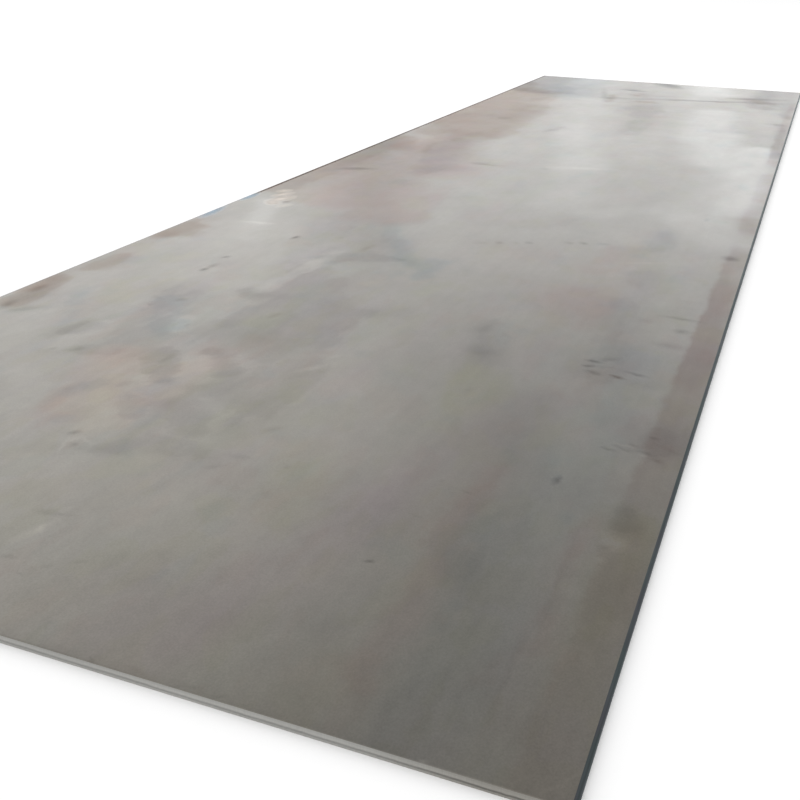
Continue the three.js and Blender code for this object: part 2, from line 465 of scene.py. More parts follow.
stain("pale",
    (-0.44, -2.215, -0.434, -2.06, 0.032, 0.95, 0.4), (-0.345, -2.5, -0.333, -2.385, 0.024, 0.7, 0.5),
    (-0.253, -1.71, -0.229, -1.33, 0.024, 0.9, 0.5), (-0.1, -0.97, -0.185, -0.42, 0.045, 0.7, 0.7),
    (-0.44, -1.4, -0.42, -1.5, 0.04, 0.5, 0.6))
stain("olive", (-0.17, -1.92, -0.155, -1.8, 0.035, 0.2, 0.5))
# A dark bar right across near the far end, and smudges beyond it
stain("soot",
    (-0.21, 2.15, 0.66, 2.42, 0.055, 0.45, 0.6), (0.44, 2.5, 0.58, 2.56, 0.07, 0.3, 0.6),
    (-0.52, 2.5, -0.45, 2.25, 0.09, 0.45, 0.7), (-0.04, 2.98, 0.07, 2.82, 0.075, 0.7, 0.6),
    (-0.45, 1.2, -0.43, 1.6, 0.12, 0.2))
stain("rust", (-0.56, 0.2, -0.48, 0.6, 0.17, 0.35))
# Clouds and spots that even the rest out
stain("soot",
    (-0.19, -1.1, -0.17, -1.24, 0.09, 0.28), (-0.22, -2.05, -0.02, -1.95, 0.18, 0.14),
    (-0.19, -1.38, -0.11, -1.33, 0.09, 0.44), (-0.67, -2.07, -0.63, -2.05, 0.04, 0.4),
    (-0.44, -2.23, -0.37, -2.2, 0.05, 0.3), (-0.23, -2.25, -0.19, -2.22, 0.04, 0.32),
    (0.03, -1.74, 0.09, -1.7, 0.06, 0.24), (-0.612, -0.865, -0.53, -0.99, 0.036, 0.24),
    (-0.12, -2.38, -0.07, -2.5, 0.075, 0.25), (-0.08, -2.36, -0.01, -2.42, 0.055, 0.42, 0.8),
    (-0.2, -2.33, -0.14, -2.42, 0.04, 0.4, 0.6), (-0.15, -2.59, -0.08, -2.55, 0.045, 0.34, 0.7),
    (-0.16, -2.11, -0.08, -2.18, 0.034, 0.5, 0.6), (-0.3, -1.73, -0.22, -1.74, 0.05, 0.4),
    (-0.01, -2.5, 0.04, -2.49, 0.05, 0.26, 0.8), (-0.09, -2.29, -0.05, -2.24, 0.045, 0.26, 0.8),
    (0.52, -2.64, 0.53, -2.97, 0.065, 0.3), (0.46, -2.05, 0.53, -2.62, 0.085, 0.24))
stain("pale",
    (-0.68, -1.76, -0.65, -1.88, 0.06, 0.7), (-0.6, -2.08, -0.53, -2.24, 0.065, 1.0),
    (-0.4, -2.36, -0.34, -2.44, 0.05, 0.85), (-0.64, -1.14, -0.64, -1.28, 0.05, 0.7),
    (-0.06, -0.98, -0.02, -1.12, 0.09, 0.5), (0.1, -0.95, 0.28, -0.86, 0.13, 0.4),
    (0.14, -0.6, 0.38, -0.45, 0.12, 0.4), (0.26, -0.42, 0.46, -0.36, 0.1, 0.6),
    (-0.04, -1.02, 0.36, -0.86, 0.17, 0.75), (0.4, -1.3, 0.22, -1.25, 0.1, 0.5),
    (0.651, -1.2, 0.659, -1.33, 0.028, 0.95, 0.6), (0.6, -2.18, 0.645, -2.76, 0.09, 0.45))
stain("rust", (-0.66, -1.25, -0.67, -1.36, 0.06, 0.4, 0.9))
# More smoother places with a painted reflection, a slight bluish brightening, on the left and the right
stain("smooth_and_painted_reflection",
    (-0.655, -0.885, -0.565, -1.13, 0.062, 0.9), (-0.58, -1.14, -0.5, -1.3, 0.07, 0.5),
    (0.59, -0.5, 0.65, -0.8, 0.13, 0.6), (0.28, -0.6, 0.42, -0.45, 0.1, 0.35),
    (0.46, -0.34, 0.5, -0.56, 0.07, 0.35))
# Rust all along the right mill edge, in lengths of different strength
stain("edge_rust",
    (0.72, 2.3, 0.72, 0.62, 0.2, 0.55), (0.72, 0.3, 0.72, -0.3, 0.08, 0.35),
    (0.72, -0.42, 0.72, -0.55, 0.15, 0.5), (0.72, -0.9, 0.72, -1.15, 0.2, 0.6),
    (0.72, -1.3, 0.72, -1.75, 0.22, 1.0), (0.72, -1.85, 0.72, -2.2, 0.2, 0.7),
    (0.72, -2.3, 0.72, -2.55, 0.2, 0.45), (0.72, -2.65, 0.72, -2.98, 0.2, 0.4))
stain("soot", (0.715, 1.5, 0.725, 0.75, 0.05, 0.5))
# Darker and paler spots beside that edge, near the corner
stain("soot",
    (0.71, -2.12, 0.71, -2.18, 0.1, 0.42), (0.683, -2.41, 0.692, -2.455, 0.034, 0.6, 0.9))
stain("rust", (0.7, -2.47, 0.715, -2.5, 0.03, 0.25, 0.9))
stain("pale",
    (0.63, -2.58, 0.645, -2.64, 0.035, 0.6), (0.575, -2.42, 0.585, -2.48, 0.035, 0.5))
stain("olive", (0.71, -2.45, 0.71, -2.85, 0.07, 0.6))


def laid_on(kind, x, y):
    """How strongly one kind of stain lies at a point; strokes that cross never add up past full."""
    clean = 1.0
    for x0, y0, x1, y1, reach, strength, *rim in strokes[kind]:
        if not min(x0, x1) - reach < x < max(x0, x1) + reach:
            continue
        if not min(y0, y1) - reach < y < max(y0, y1) + reach:
            continue
        run_x, run_y = x1 - x0, y1 - y0
        passed = ((x - x0) * run_x + (y - y0) * run_y) / (run_x ** 2 + run_y ** 2)
        passed = min(1, max(0, passed))
        away = math.hypot(x - x0 - passed * run_x, y - y0 - passed * run_y) / reach
        fade = min(1, max(0, (1 - away) / (rim[0] if rim else USUAL_RIM)))
        clean *= 1 - strength * fade * fade * (3 - 2 * fade)
    return 1 - clean


def wander(x, y, size, seed):
    """Smooth noise from -1 to 1 whose lumps are about size metres across."""
    return noise.noise(Vector((x / size + 3.7 * seed, y / size - 1.3 * seed, 0)))


top_points = []
for point in plate_mesh.vertices:
    x, y, z = point.co
    if z > thickness - 0.002:
        x += 0.016 * wander(x, y, 0.16, 61) + 0.01 * wander(x, y, 0.05, 62)
        y += 0.04 * wander(x, y, 0.22, 63) + 0.022 * wander(x, y, 0.07, 64)
        top_points.append((point.index, x, y))
for kind in strokes:
    values = [0.0] * len(plate_mesh.vertices)
    for index, x, y in top_points:
        values[index] = laid_on(kind, x, y)
    plate_mesh.attributes.new(kind, "FLOAT", "POINT").data.foreach_set("value", values)

# ---------------------------------------------------------------------------------------------
# Mill scale, the skin of blue-grey iron oxide that grew while the steel was hot. It is thin, dense
# and a little shiny, so the plate looks dark from above and bright at a low angle. It clouds in
# broad patches, and it is drawn out along the rolling direction.

scale_finish.use_nodes = True
scale_tree = scale_finish.node_tree


def lumps(tree, place, size, detail, seed, result="Fac"):
    """Cloudy noise from 0 to 1 about 0.5, with lumps of a size in metres along X, Y and Z."""
    stretch = tree.nodes.new("ShaderNodeMapping")
    stretch.inputs["Location"].default_value = (3.7 * seed, -1.3 * seed, 2.9 * seed)
    stretch.inputs["Scale"].default_value = [1 / length for length in size]
    tree.links.new(place, stretch.inputs["Vector"])
    cloud = tree.nodes.new("ShaderNodeTexNoise")
    cloud.inputs["Scale"].default_value = 1.0
    cloud.inputs["Detail"].default_value = detail
    tree.links.new(stretch.outputs[0], cloud.inputs["Vector"])
    return cloud.outputs[result]


def swing(tree, cloud, amount):
    """Turns noise into a factor that swings about 1 by the amount."""
    return calc(tree, "MULTIPLY_ADD", cloud, 2 * amount, 1 - amount)


def ramp(tree, value, low, high):
    """A smooth step: 0 at low and 1 at high, which may lie either way round."""
    step = tree.nodes.new("ShaderNodeMapRange")
    step.interpolation_type = "SMOOTHSTEP"
    connect(tree, value, step.inputs["Value"])
    step.inputs["From Min"].default_value = min(low, high)
    step.inputs["From Max"].default_value = max(low, high)
    step.inputs["To Min"].default_value = 0.0 if low < high else 1.0
    step.inputs["To Max"].default_value = 1.0 if low < high else 0.0
    return step.outputs[0]


MIX_FACTOR, MIX_A, MIX_B = 0, 6, 7  # the inputs of a Mix node that is set to colours


def tinted(tree, colour, amount, tint):
    """Multiplies a colour by a tint, in part or in full."""
    mix = tree.nodes.new("ShaderNodeMix")
    mix.data_type = "RGBA"
    mix.blend_type = "MULTIPLY"
    connect(tree, amount, mix.inputs[MIX_FACTOR])
    connect(tree, colour, mix.inputs[MIX_A])
    connect(tree, tint, mix.inputs[MIX_B])
    return mix.outputs[2]


def painted(tree, name):
    """Reads one of the plate's own point values."""
    reader = tree.nodes.new("ShaderNodeAttribute")
    reader.attribute_name = name
    return reader.outputs["Fac"]


scale_place = scale_tree.nodes.new("ShaderNodeTexCoord").outputs["Object"]
scale_shader = scale_tree.nodes["Principled BSDF"]

# Brightness: broad clouds, palm-sized clouds, flecks, streaks from the rolls and a fine grain
brightness = swing(scale_tree, lumps(scale_tree, scale_place, (0.6, 1.6, 1.0), 2.0, 1), 0.16)
palm = lumps(scale_tree, scale_place, (0.1, 0.2, 0.5), 3.0, 2)
brightness = calc(scale_tree, "MULTIPLY", brightness, swing(scale_tree, palm, 0.12))
flecks = lumps(scale_tree, scale_place, (0.022, 0.045, 0.05), 4.0, 12)
brightness = calc(scale_tree, "MULTIPLY", brightness, swing(scale_tree, flecks, 0.1))
streaks = lumps(scale_tree, scale_place, (0.014, 0.9, 0.5), 2.0, 3)
brightness = calc(scale_tree, "MULTIPLY", brightness, swing(scale_tree, streaks, 0.05))
grain = lumps(scale_tree, scale_place, (0.0022, 0.003, 0.003), 2.0, 4)
brightness = calc(scale_tree, "MULTIPLY", brightness, swing(scale_tree, grain, 0.17))
# Across the far half, painted reflection: fine lighter and darker bars from side to side, stronger towards
# the far end
split = scale_tree.nodes.new("ShaderNodeSeparateXYZ")
scale_tree.links.new(scale_place, split.inputs[0])
painted_reflection_bars = calc(scale_tree, "SUBTRACT", lumps(scale_tree, scale_place, (0.2, 0.05, 0.5), 3.0, 17), 0.5)
painted_reflection_bars = calc(scale_tree, "MULTIPLY", painted_reflection_bars, ramp(scale_tree, split.outputs["Y"], -0.8, 2.2))
brightness = calc(scale_tree, "MULTIPLY", brightness, calc(scale_tree, "MULTIPLY_ADD", painted_reflection_bars, 0.24, 1.0))

# Stains, each broken up a little by its own clouds, with an edge where the strong ones set in
STAIN_TINTS = {
    "rust": (0.815, 0.757, 0.727, 1),
    "soot": (0.8, 0.8, 0.812, 1),
    # The smoother places' tint is a painted reflection, a slight bluish brightening
    "smooth_and_painted_reflection": (1.0, 1.02, 1.04, 1),
    "blue": (0.897, 0.936, 0.968, 1),
    "rose": (0.987, 0.936, 0.933, 1),
    "olive": (0.981, 0.981, 0.936, 1),
    "violet": (0.995, 0.968, 1.0, 1),
    "sand": (1.06, 1.035, 1.01, 1),
    "pale": (1.075, 1.08, 1.08, 1),
}
STAIN_ROUGHNESS = {"smooth_and_painted_reflection": -0.05}
SOFT_STAINS = ("smooth_and_painted_reflection", "violet")
breaking = swing(scale_tree, lumps(scale_tree, scale_place, (0.055, 0.15, 0.1), 3.0, 5), 0.4)
rim_cloud = lumps(scale_tree, scale_place, (0.04, 0.09, 0.1), 4.0, 16)

# Oxide colours: a faint drift of hue everywhere, and patches of pinkish, olive and bluish film
drift = lumps(scale_tree, scale_place, (0.09, 0.22, 0.1), 5.0, 13, "Color")
film = scale_tree.nodes.new("ShaderNodeVectorMath")
film.operation = "MULTIPLY_ADD"
scale_tree.links.new(drift, film.inputs[0])
film.inputs[1].default_value = (0.05, 0.05, 0.06)
film.inputs[2].default_value = (0.975, 0.975, 0.97)
stain_tint = film.outputs[0]
patches = lumps(scale_tree, scale_place, (0.065, 0.15, 0.1), 3.0, 14)
stain_tint = tinted(scale_tree, stain_tint, ramp(scale_tree, patches, 0.56, 0.61), (0.998, 0.983, 0.98, 1))
stain_tint = tinted(scale_tree, stain_tint, ramp(scale_tree, patches, 0.45, 0.41), (0.992, 0.994, 0.972, 1))
blue_patches = ramp(scale_tree, lumps(scale_tree, scale_place, (0.08, 0.15, 0.1), 3.0, 15), 0.59, 0.66)
stain_tint = tinted(scale_tree, stain_tint, blue_patches, (0.972, 0.985, 0.993, 1))
roughness = calc(scale_tree, "MULTIPLY_ADD", palm, -0.03, 0.375)
for kind, tint in STAIN_TINTS.items():
    amount = calc(scale_tree, "MULTIPLY", painted(scale_tree, kind), breaking)
    if kind not in SOFT_STAINS:
        within = calc(scale_tree, "MULTIPLY_ADD", rim_cloud, 0.6, painted(scale_tree, kind))
        within = calc(scale_tree, "MULTIPLY_ADD", ramp(scale_tree, within, 0.61, 0.67), 0.48, 0.69)
        amount = calc(scale_tree, "MULTIPLY", amount, within)
    stain_tint = tinted(scale_tree, stain_tint, amount, tint)
    if kind in STAIN_ROUGHNESS:
        roughness = calc(scale_tree, "MULTIPLY_ADD", amount, STAIN_ROUGHNESS[kind], roughness)

# The rust along the right edge stops at an almost straight line, where a roller or a strap ran
ragged = lumps(scale_tree, scale_place, (0.03, 0.05, 0.1), 4.0, 6)
slow = lumps(scale_tree, scale_place, (0.2, 0.28, 0.1), 2.0, 18)
band_place = calc(scale_tree, "MULTIPLY_ADD", ragged, 0.022, split.outputs["X"])
band_place = calc(scale_tree, "MULTIPLY_ADD", slow, 0.02, band_place)
band_place = calc(scale_tree, "MULTIPLY_ADD", split.outputs["Y"], -0.006, band_place)
band = ramp(scale_tree, band_place, 0.7115, 0.7275)
band = calc(scale_tree, "MULTIPLY", band, painted(scale_tree, "edge_rust"))
band = calc(scale_tree, "MULTIPLY", band, breaking)
# It is thinner again right beside the edge
off_edge = ramp(scale_tree, calc(scale_tree, "MULTIPLY_ADD", palm, 0.06, split.outputs["X"]), 0.745, 0.785)
band = calc(scale_tree, "MULTIPLY", band, calc(scale_tree, "MULTIPLY_ADD", off_edge, -0.45, 1.15))
stain_tint = tinted(scale_tree, stain_tint, band, (0.883, 0.842, 0.839, 1))

# ---------------------------------------------------------------------------------------------
# Small marks in the scale: ticks and scuffs from chains, forks and rollers, short burnt-looking
# spots, and places where a sharp corner has scraped the scale bright. Each has a soft, ragged rim.

MARK_TINTS = {
    "dark": (0.34, 0.34, 0.355, 1),
    "brown": (0.44, 0.36, 0.33, 1),
    "bright": (1.38, 1.38, 1.37, 1),
    "dust": (1.34, 1.24, 1.13, 1),
}
COVER_COLOURS = {
    "mud": (0.64, 0.58, 0.52, 1),
    "paint": (0.31, 0.41, 0.5, 1),
}
MARK_FADE = 0.7  # where a mark has faded out, as a share of its length and width
MARK_DEPTH = 0.006  # how far down they reach: over the rims, but not to the underside
marked = {kind: 0.0 for kind in (*MARK_TINTS, *COVER_COLOURS)}

wobble = scale_tree.nodes.new("ShaderNodeTexNoise")
wobble.inputs["Scale"].default_value = 60.0
wobble.inputs["Detail"].default_value = 3.0
scale_tree.links.new(scale_place, wobble.inputs["Vector"])
even = scale_tree.nodes.new("ShaderNodeVectorMath")
even.operation = "SUBTRACT"
scale_tree.links.new(wobble.outputs["Color"], even.inputs[0])
even.inputs[1].default_value = (0.5, 0.5, 0.5)
ragged_place = scale_tree.nodes.new("ShaderNodeVectorMath")
ragged_place.operation = "MULTIPLY_ADD"
scale_tree.links.new(even.outputs[0], ragged_place.inputs[0])
ragged_place.inputs[1].default_value = (0.012, 0.016, 0.0)
scale_tree.links.new(scale_place, ragged_place.inputs[2])


def mark(kind, *spots):
    """Marks of one kind on the upper face. Each has its place, length and width in metres, the turn
    of its length in degrees from X towards Y, and its strength."""
    for x, y, length, width, turn, strength in spots:
        spot = scale_tree.nodes.new("ShaderNodeTexGradient")
        spot.gradient_type = "SPHERICAL"
        spot.texture_mapping.vector_type = "TEXTURE"
        spot.texture_mapping.translation = (x, y, thickness)
        spot.texture_mapping.rotation = (0, 0, math.radians(turn))
        spot.texture_mapping.scale = (MARK_FADE * length, MARK_FADE * width, MARK_DEPTH)
        scale_tree.links.new(ragged_place.outputs[0], spot.inputs["Vector"])
        marked[kind] = calc(scale_tree, "MULTIPLY_ADD", spot.outputs["Fac"], strength, marked[kind])


# Far end: burnt-looking smudges
mark("dark",
    (0.55, 2.54, 0.3, 0.1, 20, 0.3), (0.3, 2.3, 0.6, 0.04, 18, 0.22), (-0.113, 2.55, 0.16, 0.06, -9, 0.35),
    (0.016, 2.93, 0.2, 0.1, -59, 0.3), (-0.24, 2.3, 0.5, 0.035, -79, 0.16),
    (0.7, 1.61, 0.13, 0.06, -21, 0.2), (-0.205, 0.92, 0.13, 0.04, 71, 0.25),
    (-0.185, 1.02, 0.07, 0.03, 71, 0.22))
mark("brown",
    (0.05, 2.38, 0.4, 0.05, 18, 0.14), (0.15, 1.58, 0.23, 0.09, 35, 0.11),
    (0.45, 1.29, 0.19, 0.12, 15, 0.11))
# Down the middle
mark("bright",
    (0.07, 0.105, 0.15, 0.06, 21, 0.65), (0.14, 0.13, 0.16, 0.04, 18, 0.4),
    (-0.56, -1.145, 0.095, 0.026, 10, 0.8))
mark("dark",
    (-0.02, 0.034, 0.036, 0.04, 0, 0.2), (-0.484, 1.147, 0.07, 0.06, 2, 0.2),
    (-0.25, 0.035, 0.1, 0.04, 20, 0.15), (-0.62, -0.29, 0.12, 0.045, 30, 0.32),
    (0.6, -0.5, 0.05, 0.015, 80, 0.24), (0.64, -0.51, 0.075, 0.04, 20, 0.1),
    (0.705, -0.92, 0.05, 0.04, 90, 0.4))
mark("brown", (-0.234, 0.01, 0.11, 0.03, 4, 0.25))
mark("dust", (0.505, -1.066, 0.12, 0.016, 27, 0.5))
# A row of dashes, as a roller with a chipped rim leaves
mark("dark",
    (0.076, -1.067, 0.048, 0.03, 20, 0.2), (0.118, -1.042, 0.024, 0.03, 27, 0.34),
    (0.158, -1.02, 0.02, 0.028, 27, 0.22), (0.191, -1.006, 0.022, 0.028, 27, 0.32),
    (0.289, -0.957, 0.024, 0.028, 27, 0.27), (0.325, -0.942, 0.022, 0.03, 27, 0.34),
    (0.372, -0.926, 0.045, 0.026, 27, 0.2))
# Dried mud with cracks, and two dabs of the sky-blue paint that marks the grade, on the left edge
mark("mud",
    (-0.681, -0.737, 0.052, 0.034, 71, 0.9), (-0.661, -0.784, 0.08, 0.034, 71, 1.0),
    (-0.637, -0.846, 0.104, 0.046, 71, 1.1), (-0.633, -0.907, 0.048, 0.044, 71, 0.85),
    (-0.589, -0.921, 0.06, 0.03, 71, 0.4))
mark("brown",
    (-0.676, -0.771, 0.036, 0.012, 76, 0.35), (-0.652, -0.823, 0.034, 0.012, 74, 0.35),
    (-0.605, -0.876, 0.04, 0.014, 68, 0.4))
mark("paint",
    (-0.74, -1.085, 0.15, 0.036, 96, 0.9), (-0.74, -0.86, 0.1, 0.032, 90, 1.0))
# Ticks and scrapes from there to the middle of the near half
mark("dark",
    (-0.393, -1.245, 0.036, 0.016, 75, 0.5), (0.278, -1.722, 0.08, 0.045, 80, 0.08),
    (0.34, -1.76, 0.025, 0.01, -40, 0.12), (0.322, -1.872, 0.05, 0.04, 85, 0.07),
    (0.318, -1.872, 0.1, 0.08, -35, 0.13), (0.354, -2.069, 0.024, 0.013, 80, 0.12))
mark("brown",
    (-0.18, -1.265, 0.09, 0.02, 85, 0.16), (-0.147, -1.851, 0.045, 0.018, 73, 0.14))
mark("bright",
    (0.054, -2.095, 0.06, 0.018, 58, 0.28), (0.068, -2.019, 0.03, 0.014, 50, 0.2))
# A scuffed place where something heavy was dragged to the right edge
mark("dark",
    (0.655, -1.484, 0.09, 0.018, -5, 0.22), (0.585, -1.53, 0.035, 0.03, 15, 0.1),
    (0.662, -1.569, 0.034, 0.032, 40, 0.27), (0.545, -1.665, 0.075, 0.01, 85, 0.12),
    (0.652, -1.672, 0.07, 0.036, -7, 0.13), (0.558, -1.8, 0.04, 0.02, 35, 0.17),
    (0.531, -1.825, 0.034, 0.014, -4, 0.36), (0.526, -1.854, 0.026, 0.013, 5, 0.34),
    (0.556, -1.846, 0.04, 0.014, 10, 0.13), (0.618, -1.859, 0.05, 0.012, -13, 0.26),
    (0.54, -1.884, 0.034, 0.02, -10, 0.27), (0.64, -1.905, 0.075, 0.04, -5, 0.08))
mark("brown", (0.588, -1.888, 0.033, 0.014, -14, 0.46))
# Roller chatter beside the right edge
mark("dark",
    (0.691, -2.134, 0.02, 0.01, -25, 0.22), (0.64, -2.19, 0.018, 0.009, -20, 0.15),
    (0.656, -2.198, 0.026, 0.011, -15, 0.2), (0.665, -2.175, 0.018, 0.009, -20, 0.2),
    (0.687, -2.198, 0.04, 0.012, -20, 0.2), (0.628, -2.207, 0.026, 0.01, -20, 0.24))
mark("bright",
    (0.651, -2.184, 0.03, 0.007, -10, 0.25), (0.684, -2.209, 0.012, 0.01, 0, 0.3))
mark("brown",
    (0.708, -2.219, 0.028, 0.012, -25, 0.2), (0.72, -2.169, 0.053, 0.009, -30, 0.08))
# Towards the left edge
mark("dark",
    (-0.465, -1.498, 0.032, 0.018, 60, 0.45), (-0.457, -1.619, 0.03, 0.018, 79, 0.42),
    (-0.425, -1.905, 0.02, 0.01, -50, 0.16), (-0.697, -2.039, 0.06, 0.026, -80, 0.28),
    (-0.44, -2.218, 0.018, 0.014, 10, 0.16), (-0.396, -2.2, 0.026, 0.016, 60, 0.18),
    (-0.214, -2.17, 0.05, 0.016, 90, 0.14))
mark("brown",
    (-0.455, -1.584, 0.06, 0.02, 90, 0.22), (-0.38, -1.845, 0.03, 0.018, 65, 0.16),
    (-0.44, -1.855, 0.035, 0.015, -25, 0.1), (-0.712, -1.915, 0.06, 0.026, 90, 0.26),
    (-0.28, -1.985, 0.025, 0.01, -80, 0.16))
# A ring-shaped scrape, and the ticks round it
mark("dark",
    (-0.17, -2.515, 0.026, 0.015, 55, 0.28), (-0.143, -2.553, 0.02, 0.014, -80, 0.2))
mark("bright",
    (-0.136, -2.532, 0.041, 0.006, -35, 0.25), (-0.155, -2.535, 0.032, 0.012, 55, 0.33),
    (-0.156, -2.564, 0.057, 0.006, -70, 0.33))
# Near end: small pits, short scratches and smears
mark("brown",
    (0.113, -2.369, 0.047, 0.018, 55, 0.12), (0.646, -2.64, 0.17, 0.008, -88, 0.1),
    (0.638, -2.845, 0.16, 0.01, -88, 0.1), (0.614, -2.969, 0.026, 0.014, 0, 0.08),
    (0.265, -2.992, 0.041, 0.009, -5, 0.1))
mark("dark",
    (0.422, -2.427, 0.018, 0.009, 45, 0.1), (0.466, -2.443, 0.024, 0.007, -25, 0.18),
    (0.114, -2.479, 0.052, 0.016, 5, 0.12), (0.193, -2.482, 0.017, 0.011, 75, 0.14),
    (0.093, -2.526, 0.032, 0.013, 40, 0.12), (0.425, -2.54, 0.036, 0.006, -25, 0.1),
    (0.683, -2.514, 0.018, 0.014, 45, 0.18), (0.579, -2.349, 0.03, 0.012, 85, 0.42),
    (0.41, -2.678, 0.013, 0.01, 25, 0.45), (0.685, -2.741, 0.022, 0.008, 65, 0.1),
    (-0.016, -2.741, 0.035, 0.008, 5, 0.12), (-0.044, -2.746, 0.036, 0.015, 5, 0.16),
    (0.073, -2.832, 0.024, 0.007, 30, 0.12), (0.042, -2.859, 0.012, 0.01, 50, 0.14),
    (-0.019, -2.86, 0.026, 0.011, 10, 0.16), (0.025, -2.889, 0.014, 0.005, -20, 0.16),
    (0.332, -2.992, 0.021, 0.006, 10, 0.16), (0.368, -2.991, 0.017, 0.008, 45, 0.2),
    (0.207, -2.995, 0.01, 0.006, -10, 0.24), (0.4, -2.995, 0.008, 0.006, 20, 0.16))
mark("bright",
    (0.694, -2.5, 0.034, 0.038, -10, 0.45), (0.683, -2.551, 0.017, 0.014, 60, 0.25),
    (-0.022, -2.719, 0.045, 0.01, 70, 0.21), (-0.025, -2.786, 0.023, 0.01, 90, 0.5),
    (-0.028, -2.79, 0.086, 0.018, 75, 0.33), (0.73, -2.97, 0.06, 0.007, 58, 0.25),
    (0.596, -2.996, 0.011, 0.005, 0, 0.8))

for kind, tint in MARK_TINTS.items():
    stain_tint = tinted(scale_tree, stain_tint, marked[kind], tint)

# The upper face is darker in a thin line along the left edge, from a little short of the middle to the far
# end, and the scale on the rollovers is crazed and half bare
rim = calc(scale_tree, "MULTIPLY_ADD", ragged, 0.004, split.outputs["X"])
rim = ramp(scale_tree, rim, -0.732, -0.738)
rim = calc(scale_tree, "MULTIPLY", rim, ramp(scale_tree, split.outputs["Y"], -0.92, -0.74))
stain_tint = tinted(scale_tree, stain_tint, rim, (0.5, 0.45, 0.44, 1))
worn = ramp(scale_tree, painted(scale_tree, "row_down"), 0.0, 3.0)
brightness = calc(scale_tree, "MULTIPLY", brightness, calc(scale_tree, "MULTIPLY_ADD", worn, 0.35, 1.0))

# The finished scale: its own colour under the stains and marks, with the grain as a fine relief
scale_colour = tinted(scale_tree, stain_tint, 1.0, (0.145, 0.137, 0.122, 1))
gain = scale_tree.nodes.new("ShaderNodeVectorMath")
gain.operation = "SCALE"
scale_tree.links.new(scale_colour, gain.inputs[0])
scale_tree.links.new(brightness, gain.inputs["Scale"])
scale_colour = gain.outputs[0]
scale_tree.links.new(stain_tint, scale_shader.inputs["Specular Tint"])

# Mud and paint aren't metal: they lie on the scale as a dull colour of their own
bare = 1.0
for kind, colour in COVER_COLOURS.items():
    cover = scale_tree.nodes.new("ShaderNodeMix")
    cover.data_type = "RGBA"
    connect(scale_tree, marked[kind], cover.inputs[MIX_FACTOR])
    connect(scale_tree, scale_colour, cover.inputs[MIX_A])
    connect(scale_tree, colour, cover.inputs[MIX_B])
    scale_colour = cover.outputs[2]
    bare = calc(scale_tree, "SUBTRACT", bare, marked[kind])
bare = ramp(scale_tree, bare, 0.0, 1.0)
scale_tree.links.new(scale_colour, scale_shader.inputs["Base Color"])
scale_tree.links.new(bare, scale_shader.inputs["Metallic"])
covered = calc(scale_tree, "SUBTRACT", 1.0, bare)
roughness = calc(scale_tree, "MULTIPLY_ADD", covered, 0.4, roughness)
scale_tree.links.new(roughness, scale_shader.inputs["Roughness"])

relief = scale_tree.nodes.new("ShaderNodeBump")
relief.inputs["Strength"].default_value = 0.1
relief.inputs["Distance"].default_value = 0.0002
scale_tree.links.new(grain, relief.inputs["Height"])
scale_tree.links.new(relief.outputs[0], scale_shader.inputs["Normal"])

# ---------------------------------------------------------------------------------------------
# Bare steel of the sheared ends. The blade left a burnished land with fine drag lines down it, and a
# thin darker line runs where the steel began to tear. The torn face below is grainy and duller.


def bare_steel(finish, colour, dull, drag, drag_amount, rough):
    """Bare steel with drag lines or grains of a size along X, Y and Z, painted light on the lower rows, and
    the darker line where the tear began.
    """
    finish.use_nodes = True
    tree = finish.node_tree
    shader = tree.nodes["Principled BSDF"]
    place = tree.nodes.new("ShaderNodeTexCoord").outputs["Object"]
    lines = lumps(tree, place, drag, 3.0, 7)
    tone = swing(tree, lines, drag_amount)
    tone = calc(tree, "MULTIPLY", tone, swing(tree, lumps(tree, place, (0.09, 1.0, 0.02), 2.0, 8), 0.1))
    # Lighter from the middle of the land down and over the whole torn face: painted light against the shade
    # these lower rows take from the floor, and some polish on the land where the blade rubbed longest
    row = painted(tree, "row_down")
    polish_and_painted_light = calc(tree, "MULTIPLY_ADD", ramp(tree, row, 5.5, 10.0), 0.25, 1.0)
    tone = calc(tree, "MULTIPLY", tone, polish_and_painted_light)
    # The line where the tear began, wider and browner towards one corner
    split = tree.nodes.new("ShaderNodeSeparateXYZ")
    tree.links.new(place, split.inputs[0])
    corner = ramp(tree, split.outputs["X"], 0.5, 0.68)
    off_line = calc(tree, "ABSOLUTE", calc(tree, "SUBTRACT", row, rollover_rows + land_rows + 2))
    line = ramp(tree, off_line, 2.8, 0.6)
    line = calc(tree, "MULTIPLY", line, calc(tree, "MULTIPLY_ADD", corner, 0.2, 0.27))
    tone = calc(tree, "MULTIPLY", tone, calc(tree, "SUBTRACT", 1.0, line))
    steel = tinted(tree, colour, corner, dull)
    gain = tree.nodes.new("ShaderNodeVectorMath")
    gain.operation = "SCALE"
    tree.links.new(steel, gain.inputs[0])
    tree.links.new(tone, gain.inputs["Scale"])
    tree.links.new(gain.outputs[0], shader.inputs["Base Color"])
    tree.links.new(calc(tree, "MULTIPLY_ADD", lines, -0.12, rough + 0.06), shader.inputs["Roughness"])
    shader.inputs["Metallic"].default_value = 1.0
    relief = tree.nodes.new("ShaderNodeBump")
    relief.inputs["Strength"].default_value = 0.3
    relief.inputs["Distance"].default_value = 0.0001
    tree.links.new(lines, relief.inputs["Height"])
    tree.links.new(relief.outputs[0], shader.inputs["Normal"])


bare_steel(land_finish, (0.35, 0.346, 0.329, 1), (0.78, 0.76, 0.73, 1), (0.0012, 1.0, 0.02), 0.12, 0.36)
# The torn face gets a lighter colour than the land: painted light against the shade it takes from leaning
# back towards the floor
bare_steel(torn_finish, (0.37, 0.366, 0.35, 1), (0.78, 0.76, 0.73, 1), (0.003, 1.0, 0.0018), 0.16, 0.5)

# ---------------------------------------------------------------------------------------------
# Scale of the mill edges. It is thicker and darker than on the faces, blue-grey with purplish and
# greenish lengths, and drawn out along the plate by the rolls.

